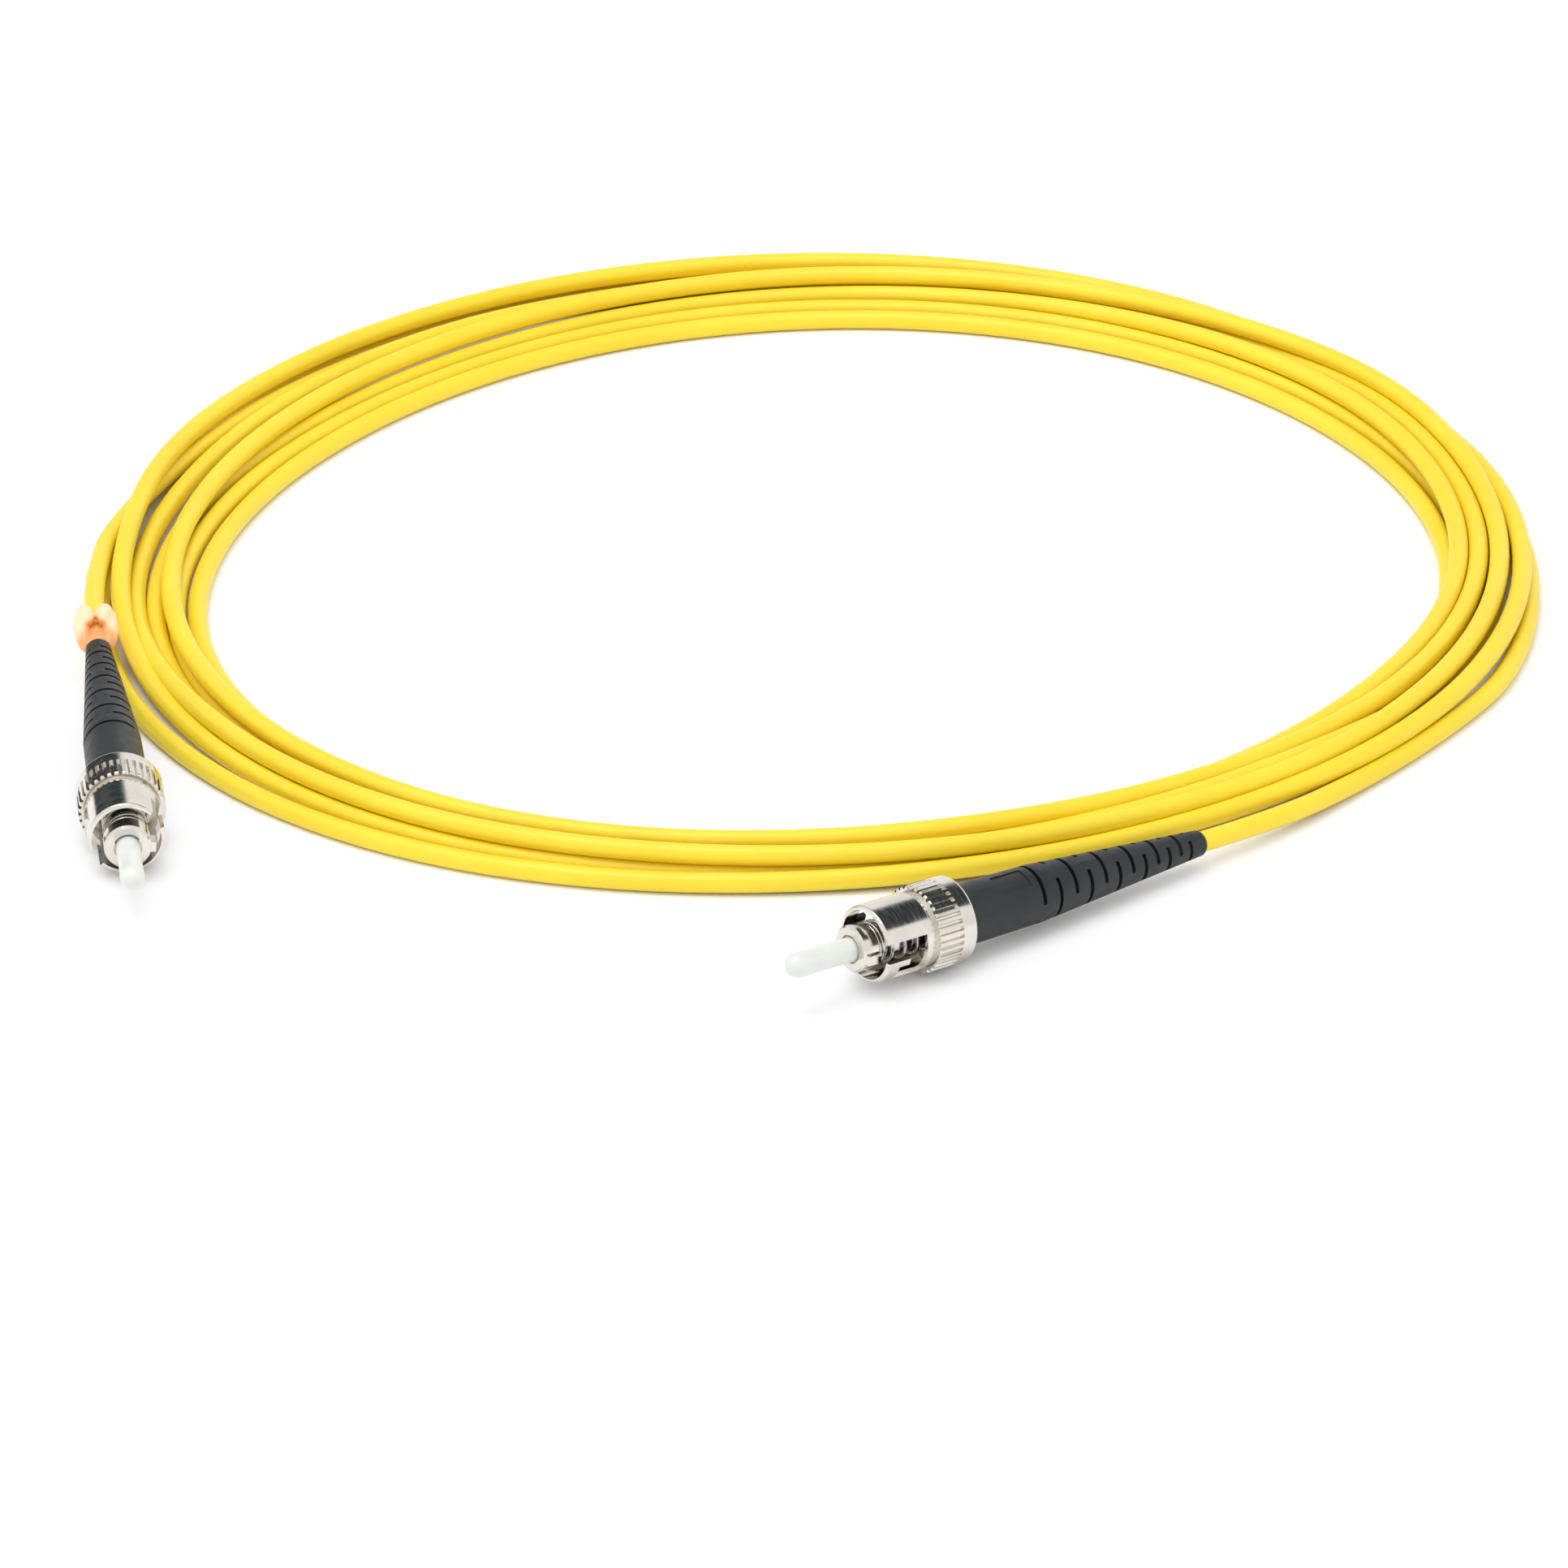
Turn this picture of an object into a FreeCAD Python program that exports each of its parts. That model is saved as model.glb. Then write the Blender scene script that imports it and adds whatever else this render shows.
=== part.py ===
"""A simplex single-mode fibre optic patch cord with a bayonet connector on each end.

The cord lies in a loose coil on a flat surface. Z is up, the surface is z = 0, and the
origin is under the middle of the whole. All sizes are in millimetres.

Each connector is built along its own axis: s runs forwards from the rear face of the
coupling nut towards the tip of the ferrule, and angles about the axis start at the top.
"""

import FreeCAD, Part
import math
import os

Vector = FreeCAD.Vector

# The cable and what it is made of
CABLE_D = 2.4
JACKET_WALL = 0.4
BUFFER_D = 0.9
COATING_D = 0.25
GLASS_D = 0.125

# Clearances, each from face to face
RUNNING = 0.05
SLIDING = 0.02
END_GAP = 0.1
NUT_TO_BOOT = 0.3

# The ferrule and its dust cap
FERRULE_D = 2.5
FERRULE_OUT = 7.8
FERRULE_HELD = 6.0
FERRULE_CHAMFER = 0.35
CAP_WALL = 0.1
CAP_TIP_WALL = 0.15
CAP_OUT = 8.7
CAP_TIP = 0.8
CAP_DOME = 0.94
RECESS_D = 3.3
RECESS_DEPTH = 1.2

# The coupling nut, from its rear face forwards
GRIP_STEP = 0.55
BAND_LENGTH = 2.0
BAND_ROUND = 0.35
RIB_ROUND = 0.25
RIB_LENGTH = 3.25
RIB_COUNT = 36
GROOVE_WIDTH = 0.52
GROOVE_FLOOR = 0.22
GROOVE_DEPTH = 0.32
NUT_NECK_DEPTH = 0.2
NUT_NECK_LENGTH = 0.6
BARREL_D = 8.9
BARREL_LENGTH = 6.3
BARREL_ROUND = 0.3
BARREL_BACK_ROUND = 0.15
BARREL_WALL = 0.5
POCKET_STEP = 0.45
POCKET_DEPTH = 1.2
SHOULDER = 1.4

# The two bayonet slots in the barrel
SLOT_WIDTH = 2.3
SLOT_LENGTH = 5.4
SLOT_SWEEP = 70.0
SLOT_RETURN = 3.7
SLOT_COUNT = 2

# The connector body
COLLAR_D = 5.4
COLLAR_LENGTH = 2.0
COLLAR_CHAMFER = 0.25
COLLAR_PROUD = 2.1
KEY_WIDTH = 1.2
KEY_HEIGHT = 0.5
KEY_ANGLE = -95.0
NECK_D = 4.0
HUB_D = 5.4
HUB_LENGTH = 2.7
STEM_D = 3.2
STEM_LENGTH = 6.0
BODY_BORE_D = 1.0

# Spring, washer and retaining ring
WIRE_D = 0.5
SPRING_D = 5.2
SPRING_TURNS = 3.75
SPRING_END_TURNS = 1.75
SPRING_END_PITCH = 0.53
SPRING_SIDES = 12
WASHER_THICKNESS = 0.4
RING_THICKNESS = 0.5
RING_D = 5.6
RING_SEAT_D = 3.3
RING_OPENING = 50.0

# Crimp sleeve and aramid yarn
YARN_THICKNESS = 0.3
CRIMP_WALL = 0.35
CRIMP_ON_JACKET = 3.4
JACKET_TO_STEM = 0.5

# The boot, from its front end backwards
BOOT_LENGTH = 36.1
BOOT_STRAIGHT = 11.6
BOOT_D = 7.0
BOOT_SHOULDER_D = 6.7
BOOT_REAR_D = 2.95
BOOT_EDGE = 0.35
VENT_FIRST = 10.4
VENT_COUNT = 12
VENT_PITCH = 2.5
VENT_SHRINK = 0.085
VENT_WIDTH = 0.5
VENT_SWEEP = 135.0
VENT_FLOOR = 0.3
PAD_AHEAD = 5.2
PAD_LENGTH = 4.2
PAD_WIDTH = 2.6
PAD_DEPTH = 0.12

# The soft clip on the cord behind the left boot
CLIP_AHEAD = 0.6
CLIP_BEHIND = 6.2
CLIP_D = 4.6
CLIP_CUP_D = 4.9
CLIP_LOBE_D = 2.6
CLIP_LOBE_SPREAD = 2.4
CLIP_LOBE_BEHIND = 4.6
CLIP_LOBE_RISE = 1.9
CLIP_SLOT = 0.5

# Where each connector lies: the middle of its nut's rear face, the compass angle that its
# tip points to, its tilt up from level, and how far its nut and its boot are turned
RIGHT_X = 15.02
RIGHT_Y = -86.3
RIGHT_Z = 5.02
RIGHT_HEADING = 217.9
RIGHT_TILT = 3.2
RIGHT_ROLL = 96.0
RIGHT_BOOT_ROLL = -19.0
LEFT_X = -79.34
LEFT_Y = -54.9
LEFT_Z = 5.05
LEFT_HEADING = 277.7
LEFT_TILT = -0.4
LEFT_ROLL = 121.0
LEFT_BOOT_ROLL = 197.5

# The coil: its middle, and its edges at twelve bearings, each 30 degrees on from the right
COIL_X = -0.15
COIL_Y = 15.95
FLOOR_OUTER = (87.4, 86.2, 85.6, 85.0, 84.4, 84.6, 86.6, 89.4, 90.6, 86.4, 85.2, 85.0)
FLOOR_INNER = (76.7, 74.2, 72.0, 68.8, 66.2, 66.4, 71.0, 77.6, 80.0, 77.0, 75.8, 77.0)
UPPER_OUTER = (86.9, 85.2, 84.6, 83.6, 82.6, 82.4, 84.4, 85.6, 87.4, 85.6, 84.0, 84.4)
UPPER_INNER = (77.8, 76.2, 74.6, 72.4, 70.0, 70.4, 74.6, 79.4, 82.4, 79.4, 77.6, 77.8)
UPPER_HEIGHT = 4.9
COIL_EDGE = 0.9
STUB_LENGTH = 10.0

# The free ends of the cord: a straight stretch out of the boot, then points up to the coil
RIGHT_STRAIGHT = 12.0
RIGHT_ROUTE = (
    Vector(61.7, -45.9, 1.25),
    Vector(70.8, -35.6, 1.25),
    Vector(78.7, -25.0, 1.25),
    Vector(81.3, -15.3, 1.25),
)
LEFT_STRAIGHT = 9.0
LEFT_ROUTE = (Vector(-86.3, 1.0, 4.6), Vector(-85.7, 8.3, 3.9))
ARC_SHARE = 0.45

# What follows from the sizes above
GRIP_D = BARREL_D + 2 * GRIP_STEP
NUT_NECK_D = BARREL_D - 2 * NUT_NECK_DEPTH
BARREL_BORE_D = BARREL_D - 2 * BARREL_WALL
POCKET_D = BARREL_BORE_D - 2 * POCKET_STEP
NUT_LENGTH = BAND_LENGTH + RIB_LENGTH + NUT_NECK_LENGTH + BARREL_LENGTH
COLLAR_FACE = NUT_LENGTH + COLLAR_PROUD
COLLAR_BACK = COLLAR_FACE - COLLAR_LENGTH
SHOULDER_FRONT = POCKET_DEPTH + SHOULDER
BOOT_FRONT = -NUT_TO_BOOT
BOOT_REAR = BOOT_FRONT - BOOT_LENGTH
HUB_BACK = BOOT_FRONT - HUB_LENGTH
STEM_BACK = HUB_BACK - STEM_LENGTH
JACKET_FRONT = STEM_BACK - JACKET_TO_STEM
CRIMP_BACK = JACKET_FRONT - CRIMP_ON_JACKET
CRIMP_D = STEM_D + 2 * (YARN_THICKNESS + CRIMP_WALL)
FERRULE_TIP = COLLAR_FACE + FERRULE_OUT
FERRULE_BACK = COLLAR_FACE - RECESS_DEPTH - FERRULE_HELD
RIGHT_PLACE = Vector(RIGHT_X, RIGHT_Y, RIGHT_Z)
LEFT_PLACE = Vector(LEFT_X, LEFT_Y, LEFT_Z)
COIL_MIDDLE = Vector(COIL_X, COIL_Y, 0)
FULL_TURN = 360.0


def turned(points):
    """A closed outline of (s, radius) points turned about the connector's axis."""
    corners = [Vector(s, 0, radius) for s, radius in points]
    face = Part.Face(Part.makePolygon(corners + corners[:1]))
    return face.revolve(Vector(0, 0, 0), Vector(1, 0, 0), FULL_TURN)


def sleeve(back, front, outer, inner):
    """A plain tube between two stations, from its outer and inner diameters."""
    return turned([(back, inner / 2), (front, inner / 2), (front, outer / 2), (back, outer / 2)])


def rod(back, front, diameter):
    """A plain round rod between two stations."""
    return Part.makeCylinder(diameter / 2, front - back, Vector(back, 0, 0), Vector(1, 0, 0))


def sector(back, front, inner, outer, start, sweep):
    """Part of a tube, from the angle start on through sweep, by its two radii."""
    corners = [Vector(back, 0, inner), Vector(front, 0, inner), Vector(front, 0, outer), Vector(back, 0, outer)]
    face = Part.Face(Part.makePolygon(corners + corners[:1]))
    face.rotate(Vector(0, 0, 0), Vector(1, 0, 0), start)
    return face.revolve(Vector(0, 0, 0), Vector(1, 0, 0), sweep)


def rolled(shape, angle):
    """A copy of a shape turned about the connector's axis."""
    copy = shape.copy()
    copy.rotate(Vector(0, 0, 0), Vector(1, 0, 0), angle)
    return copy


def softened(shape, station, radius, rounding):
    """A turned shape with one of its round edges given a radius."""
    edges = []
    for edge in shape.Edges:
        curve = edge.Curve
        if isinstance(curve, Part.Circle) and math.isclose(curve.Radius, radius, abs_tol=1e-6):
            if math.isclose(curve.Center.x, station, abs_tol=1e-6):
                edges.append(edge)
    return shape.makeFillet(rounding, edges)


def dust_cap():
    """The soft translucent cap over the ferrule, a little thicker at its round closed tip."""
    inner = FERRULE_D / 2 + SLIDING
    outer = inner + CAP_TIP_WALL
    mouth = COLLAR_FACE - RECESS_DEPTH + END_GAP
    tip = COLLAR_FACE + CAP_OUT
    cap = Part.makeCone(inner + CAP_WALL, outer, tip - mouth, Vector(mouth, 0, 0), Vector(1, 0, 0))
    cap = softened(cap, tip, outer, outer * CAP_DOME)
    return cap.cut(rod(mouth, tip - CAP_TIP, 2 * inner))


def ferrule():
    """The ground ceramic ferrule, with a fine bore for the glass."""
    radius = FERRULE_D / 2
    bore = GLASS_D / 2
    return turned([
        (FERRULE_BACK, bore),
        (FERRULE_TIP, bore),
        (FERRULE_TIP, radius - FERRULE_CHAMFER),
        (FERRULE_TIP - FERRULE_CHAMFER, radius),
        (FERRULE_BACK, radius),
    ])


def fibre():
    """The glass fibre: coated up to the ferrule, and bare inside it."""
    coated = rod(BOOT_REAR, FERRULE_BACK, COATING_D)
    bare = rod(FERRULE_BACK, FERRULE_TIP, GLASS_D)
    return coated.fuse(bare)


def connector_body():
    """The turned metal body: collar and key, spring neck, hub and crimp stem."""
    collar = COLLAR_D / 2
    neck = NECK_D / 2
    seat = RING_SEAT_D / 2
    ring_front = POCKET_DEPTH - END_GAP / 2
    ring_back = ring_front - RING_THICKNESS
    bore = BODY_BORE_D / 2
    recess = RECESS_D / 2
    ferrule_seat = FERRULE_D / 2
    body = turned([
        (STEM_BACK, bore),
        (FERRULE_BACK, bore),
        (FERRULE_BACK, ferrule_seat),
        (COLLAR_FACE - RECESS_DEPTH, ferrule_seat),
        (COLLAR_FACE - RECESS_DEPTH, recess),
        (COLLAR_FACE, recess),
        (COLLAR_FACE, collar - COLLAR_CHAMFER),
        (COLLAR_FACE - COLLAR_CHAMFER, collar),
        (COLLAR_BACK, collar),
        (COLLAR_BACK, neck),
        (ring_front + SLIDING, neck),
        (ring_front + SLIDING, seat),
        (ring_back - SLIDING, seat),
        (ring_back - SLIDING, neck),
        (BOOT_FRONT, neck),
        (BOOT_FRONT, HUB_D / 2),
        (HUB_BACK, HUB_D / 2),
        (HUB_BACK, STEM_D / 2),
        (STEM_BACK, STEM_D / 2),
    ])
    key = Part.makeBox(COLLAR_LENGTH - COLLAR_CHAMFER, KEY_WIDTH, collar + KEY_HEIGHT - recess)
    key.translate(Vector(COLLAR_BACK, -KEY_WIDTH / 2, recess))
    inside = rod(COLLAR_BACK, COLLAR_FACE, RECESS_D)
    return body.fuse(rolled(key, KEY_ANGLE).cut(inside)).removeSplitter()


def rounded_path(points):
    """Straight runs between points, joined by arcs as large as the runs allow."""
    edges = []
    at = points[0]
    for before, corner, after in zip(points, points[1:], points[2:]):
        back = before - corner
        ahead = after - corner
        shorter = min(back.Length, ahead.Length)
        half_turn = (math.pi - back.getAngle(ahead)) / 2
        reach = ARC_SHARE * shorter
        radius = reach / math.tan(half_turn)
        back.normalize()
        ahead.normalize()
        start = corner + back * reach
        end = corner + ahead * reach
        inward = back + ahead
        inward.normalize()
        middle = corner + inward * (radius / math.cos(half_turn) - radius)
        edges.append(Part.LineSegment(at, start).toShape())
        edges.append(Part.Arc(start, middle, end).toShape())
        at = end
    edges.append(Part.LineSegment(at, points[-1]).toShape())
    return Part.Wire(edges)


def tube_along(points, diameter):
    """A solid round tube along a rounded path, and the path."""
    path = rounded_path(points)
    circle = Part.makeCircle(diameter / 2, points[0], points[1] - points[0])
    return path.makePipeShell([Part.Wire(circle)], True, True), path


def coupling_spring():
    """The compression spring between the washer and the collar, with its end turns closed."""
    back = SHOULDER_FRONT + WASHER_THICKNESS + SLIDING + WIRE_D / 2 + SLIDING
    front = COLLAR_BACK - WIRE_D / 2 - SLIDING
    closed = SPRING_END_TURNS * SPRING_END_PITCH
    pitch = (front - back - 2 * closed) / SPRING_TURNS
    turns = SPRING_TURNS + 2 * SPRING_END_TURNS
    corner = (SPRING_D - WIRE_D) / 2 / math.cos(math.pi / SPRING_SIDES)
    points = []
    for i in range(round(turns * SPRING_SIDES) + 1):
        turn = i / SPRING_SIDES
        lower = min(turn, SPRING_END_TURNS)
        upper = max(turn - SPRING_END_TURNS - SPRING_TURNS, 0)
        open_turns = turn - lower - upper
        station = back + SPRING_END_PITCH * (lower + upper) + pitch * open_turns
        angle = 2 * math.pi * turn
        points.append(Vector(station, corner * math.cos(angle), corner * math.sin(angle)))
    spring, path = tube_along(points, WIRE_D)
    return spring


def thrust_washer():
    """The flat washer that the spring presses on the nut's inner shoulder."""
    back = SHOULDER_FRONT + SLIDING
    return sleeve(back, back + WASHER_THICKNESS, POCKET_D, NECK_D + 2 * RUNNING)


def retaining_ring():
    """The open ring that snaps on the neck and stops the nut from coming off backwards."""
    front = POCKET_DEPTH - END_GAP / 2
    seat = RING_SEAT_D / 2 + SLIDING
    start = RING_OPENING / 2
    return sector(front - RING_THICKNESS, front, seat, RING_D / 2, start, FULL_TURN - RING_OPENING)


def slot_cutter(start):
    """One bayonet slot: straight in, round at the back, and a short way forwards again."""
    inner = POCKET_D / 2
    outer = GRIP_D / 2
    width = math.degrees(SLOT_WIDTH / (BARREL_D / 2))
    rear = NUT_LENGTH - SLOT_LENGTH
    low = start + width / 2 - SLOT_SWEEP
    entry = sector(rear, NUT_LENGTH + END_GAP, inner, outer, start - width / 2, width)
    turn = sector(rear, rear + SLOT_WIDTH, inner, outer, low, SLOT_SWEEP)
    back = sector(rear, rear + SLOT_RETURN, inner, outer, low, width)
    return entry.fuse([turn, back]).removeSplitter()


def groove_cutter():
    """One groove of the grip, wider at its mouth than at its floor."""
    grip = GRIP_D / 2
    floor = GROOVE_FLOOR / 2
    mouth = GROOVE_WIDTH / 2
    flare = mouth + (mouth - floor)
    corners = [
        Vector(BAND_LENGTH, -floor, grip - GROOVE_DEPTH),
        Vector(BAND_LENGTH, floor, grip - GROOVE_DEPTH),
        Vector(BAND_LENGTH, flare, grip + GROOVE_DEPTH),
        Vector(BAND_LENGTH, -flare, grip + GROOVE_DEPTH),
    ]
    face = Part.Face(Part.makePolygon(corners + corners[:1]))
    return face.extrude(Vector(RIB_LENGTH + NUT_NECK_LENGTH, 0, 0))


def coupling_nut():
    """The bayonet nut: knurled grip, plain barrel with two slots, and an inner shoulder."""
    grip = GRIP_D / 2
    ribs_end = BAND_LENGTH + RIB_LENGTH
    barrel_start = ribs_end + NUT_NECK_LENGTH
    nut = turned([
        (0, POCKET_D / 2),
        (0, grip),
        (ribs_end, grip),
        (ribs_end, NUT_NECK_D / 2),
        (barrel_start, NUT_NECK_D / 2),
        (barrel_start, BARREL_D / 2),
        (NUT_LENGTH, BARREL_D / 2),
        (NUT_LENGTH, BARREL_BORE_D / 2),
        (SHOULDER_FRONT, BARREL_BORE_D / 2),
        (SHOULDER_FRONT, NECK_D / 2 + RUNNING),
        (POCKET_DEPTH, NECK_D / 2 + RUNNING),
        (POCKET_DEPTH, POCKET_D / 2),
    ])
    nut = softened(nut, 0, grip, BAND_ROUND)
    nut = softened(nut, ribs_end, grip, RIB_ROUND)
    nut = softened(nut, barrel_start, BARREL_D / 2, BARREL_BACK_ROUND)
    nut = softened(nut, NUT_LENGTH, BARREL_D / 2, BARREL_ROUND)
    groove = groove_cutter()
    grooves = [rolled(groove, FULL_TURN * i / RIB_COUNT) for i in range(RIB_COUNT)]
    slots = [slot_cutter(FULL_TURN * i / SLOT_COUNT) for i in range(SLOT_COUNT)]
    return nut.cut(grooves + slots)


def aramid_yarn():
    """The yarn of the cable, spread over the stem and held by the crimp sleeve."""
    outer = STEM_D + 2 * YARN_THICKNESS
    return sleeve(STEM_BACK, HUB_BACK, outer, STEM_D)


def crimp_sleeve():
    """The crimped metal sleeve, wide over the stem and narrow on the jacket."""
    wide = CRIMP_D / 2
    narrow = CABLE_D / 2 + CRIMP_WALL
    yarn = STEM_D / 2 + YARN_THICKNESS
    return turned([
        (CRIMP_BACK, CABLE_D / 2),
        (JACKET_FRONT, CABLE_D / 2),
        (STEM_BACK, yarn),
        (HUB_BACK, yarn),
        (HUB_BACK, wide),
        (STEM_BACK, wide),
        (JACKET_FRONT - CRIMP_WALL, narrow),
        (CRIMP_BACK, narrow),
    ])


def buffer_tube():
    """The tight buffer that carries the coated fibre through the body to the ferrule."""
    return sleeve(BOOT_REAR, FERRULE_BACK, BUFFER_D, COATING_D)


def jacket_end():
    """The end of the jacket inside the boot, up to the crimp."""
    return sleeve(BOOT_REAR, JACKET_FRONT, CABLE_D, CABLE_D - 2 * JACKET_WALL)


def boot_radius(behind):
    """The boot's outer radius at a distance behind its front end."""
    if behind < BOOT_STRAIGHT:
        return (BOOT_D + (BOOT_SHOULDER_D - BOOT_D) * behind / BOOT_STRAIGHT) / 2
    share = (behind - BOOT_STRAIGHT) / (BOOT_LENGTH - BOOT_STRAIGHT)
    return (BOOT_SHOULDER_D + (BOOT_REAR_D - BOOT_SHOULDER_D) * share) / 2


def boot_bore(station):
    """The boot's inner radius at a station."""
    if station > HUB_BACK:
        return HUB_D / 2
    if station > CRIMP_BACK - CRIMP_WALL:
        return CRIMP_D / 2 + SLIDING
    return CABLE_D / 2 + SLIDING


def boot():
    """The slotted rubber boot that keeps the cable from bending sharply."""
    crimp_end = CRIMP_BACK - CRIMP_WALL
    narrow = CABLE_D / 2 + SLIDING
    wide = CRIMP_D / 2 + SLIDING
    shape = turned([
        (BOOT_REAR, narrow),
        (crimp_end - (wide - narrow), narrow),
        (crimp_end, wide),
        (HUB_BACK, wide),
        (HUB_BACK, HUB_D / 2),
        (BOOT_FRONT, HUB_D / 2),
        (BOOT_FRONT, boot_radius(0) - BOOT_EDGE),
        (BOOT_FRONT - BOOT_EDGE, boot_radius(BOOT_EDGE)),
        (BOOT_FRONT - BOOT_STRAIGHT, boot_radius(BOOT_STRAIGHT)),
        (BOOT_REAR + BOOT_EDGE, boot_radius(BOOT_LENGTH - BOOT_EDGE)),
        (BOOT_REAR, boot_radius(BOOT_LENGTH) - BOOT_EDGE / 2),
    ])
    vents = []
    behind = VENT_FIRST
    for i in range(VENT_COUNT):
        station = BOOT_FRONT - behind
        floor = boot_bore(station - VENT_WIDTH) + VENT_FLOOR
        floor = min(floor, boot_radius(behind + VENT_WIDTH) - VENT_FLOOR)
        first = 90.0 * (i % 2) - VENT_SWEEP / 2
        for start in (first, first + FULL_TURN / 2):
            vents.append(sector(station - VENT_WIDTH, station, floor, BOOT_D, start, VENT_SWEEP))
        behind += VENT_PITCH - VENT_SHRINK * i
    pad = Part.makeBox(PAD_LENGTH, PAD_WIDTH, BOOT_D)
    pad.translate(Vector(BOOT_FRONT - PAD_AHEAD - PAD_LENGTH, -PAD_WIDTH / 2, 0))
    floor = boot_radius(PAD_AHEAD + PAD_LENGTH / 2) - PAD_DEPTH
    pad = pad.cut(rod(BOOT_REAR, BOOT_FRONT, 2 * floor))
    return shape.cut(vents + [pad])


def soft_clip():
    """The soft clip on the cord: a split sleeve with a cup under the boot and two lobes on top."""
    front = BOOT_REAR + CLIP_AHEAD
    back = BOOT_REAR - CLIP_BEHIND
    seat = BOOT_REAR - END_GAP
    cord = CABLE_D / 2 + SLIDING
    tube = sleeve(back, seat, CLIP_D, 2 * cord)
    cup = turned([
        (seat, boot_radius(BOOT_LENGTH) + SLIDING),
        (front, boot_radius(BOOT_LENGTH - CLIP_AHEAD) + SLIDING),
        (front, CLIP_CUP_D / 2),
        (BOOT_REAR, CLIP_CUP_D / 2),
        (seat, CLIP_D / 2),
    ])
    above = Part.makeBox(front - seat, CLIP_CUP_D, CLIP_CUP_D)
    above.translate(Vector(seat, -CLIP_CUP_D / 2, 0))
    lobes = []
    for side in (-1, 1):
        middle = Vector(BOOT_REAR - CLIP_LOBE_BEHIND, side * CLIP_LOBE_SPREAD / 2, CLIP_LOBE_RISE)
        lobes.append(Part.makeSphere(CLIP_LOBE_D / 2, middle))
    slot = Part.makeBox(CLIP_BEHIND, CLIP_SLOT, CLIP_CUP_D)
    slot.translate(Vector(back, -CLIP_SLOT / 2, 0))
    bore = rod(back, seat, 2 * cord)
    return tube.fuse([cup.cut(above)] + lobes).cut([slot, bore]).removeSplitter()


def pointing(heading, tilt):
    """The direction of a compass angle and a tilt up from level."""
    yaw = math.radians(heading)
    lift = math.radians(tilt)
    return Vector(math.cos(yaw) * math.cos(lift), math.sin(yaw) * math.cos(lift), math.sin(lift))


def placed(shape, place, heading, tilt):
    """A copy of a connector's piece, put where the connector lies."""
    forward = pointing(heading, tilt)
    up = Vector(0, 0, 1)
    turn = FreeCAD.Rotation(forward, up.cross(forward), up, "XZY")
    copy = shape.copy()
    copy.Placement = FreeCAD.Placement(place, turn).multiply(copy.Placement)
    return copy


def lead_points(place, heading, tilt, straight, route):
    """A free end's points: the rear of the boot, the end of the straight stretch, the route."""
    forward = pointing(heading, tilt)
    leaves = place + forward * BOOT_REAR
    return (leaves, leaves - forward * straight) + route


def free_length(name, points):
    """A free end of the cord, with what its arcs and its volume come to."""
    cord, path = tube_along(points, CABLE_D)
    radii = [round(edge.Curve.Radius, 1) for edge in path.Edges if isinstance(edge.Curve, Part.Circle)]
    expected = math.pi * CABLE_D ** 2 / 4 * path.Length
    print(name, "length", round(path.Length, 1), "radii", radii, "volume share", round(cord.Volume / expected, 4))
    return cord


def outline(radii, low, high):
    """A solid between two heights inside a smooth closed curve about the coil's middle."""
    points = []
    for i, radius in enumerate(radii):
        bearing = 2 * math.pi * i / len(radii)
        points.append(COIL_MIDDLE + Vector(radius * math.cos(bearing), radius * math.sin(bearing), low))
    curve = Part.BSplineCurve()
    curve.interpolate(points, PeriodicFlag=True)
    face = Part.Face(Part.Wire(curve.toShape()))
    return face.extrude(Vector(0, 0, high - low))


def coil_tier(outer, inner, low, high):
    """One layer of the coil's outer shape."""
    return outline(outer, low, high).cut(outline(inner, low, high))


def cable_coil():
    """The outer shape of the coiled cord, with the two ends running into it."""
    coil = coil_tier(FLOOR_OUTER, FLOOR_INNER, 0, CABLE_D)
    coil = coil.fuse(coil_tier(UPPER_OUTER, UPPER_INNER, CABLE_D, UPPER_HEIGHT))
    level = [edge for edge in coil.Edges if edge.BoundBox.ZLength < SLIDING]
    upper = [edge for edge in level if edge.BoundBox.ZMin > CABLE_D + SLIDING]
    coil = coil.makeFillet(COIL_EDGE, upper)
    for route in (RIGHT_ROUTE, LEFT_ROUTE):
        stub = Part.makeCylinder(CABLE_D / 2, STUB_LENGTH, route[-1], route[-1] - route[-2])
        coil = coil.fuse(stub)
    return coil.removeSplitter()


def save(name, shape):
    """Write one piece to its own file."""
    print(name, "valid", shape.isValid(), "solids", len(shape.Solids), "volume", round(shape.Volume, 2))
    shape.exportStep(os.path.join("parts", name + ".step"))


PIECES = {
    "dust_cap": dust_cap,
    "ferrule": ferrule,
    "fibre": fibre,
    "connector_body": connector_body,
    "coupling_spring": coupling_spring,
    "thrust_washer": thrust_washer,
    "retaining_ring": retaining_ring,
    "coupling_nut": coupling_nut,
    "aramid_yarn": aramid_yarn,
    "crimp_sleeve": crimp_sleeve,
    "buffer_tube": buffer_tube,
    "jacket_end": jacket_end,
    "boot": boot,
}
CONNECTORS = {
    "right": (RIGHT_PLACE, RIGHT_HEADING, RIGHT_TILT),
    "left": (LEFT_PLACE, LEFT_HEADING, LEFT_TILT),
}
ROLLS = {
    "right": {"coupling_nut": RIGHT_ROLL, "boot": RIGHT_BOOT_ROLL},
    "left": {"coupling_nut": LEFT_ROLL, "boot": LEFT_BOOT_ROLL},
}

os.makedirs("parts", exist_ok=True)
for piece, make in PIECES.items():
    shape = make()
    for side, pose in CONNECTORS.items():
        roll = ROLLS[side].get(piece, 0)
        save(side + "_" + piece, placed(rolled(shape, roll), *pose))
save("left_clip", placed(soft_clip(), *CONNECTORS["left"]))

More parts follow.
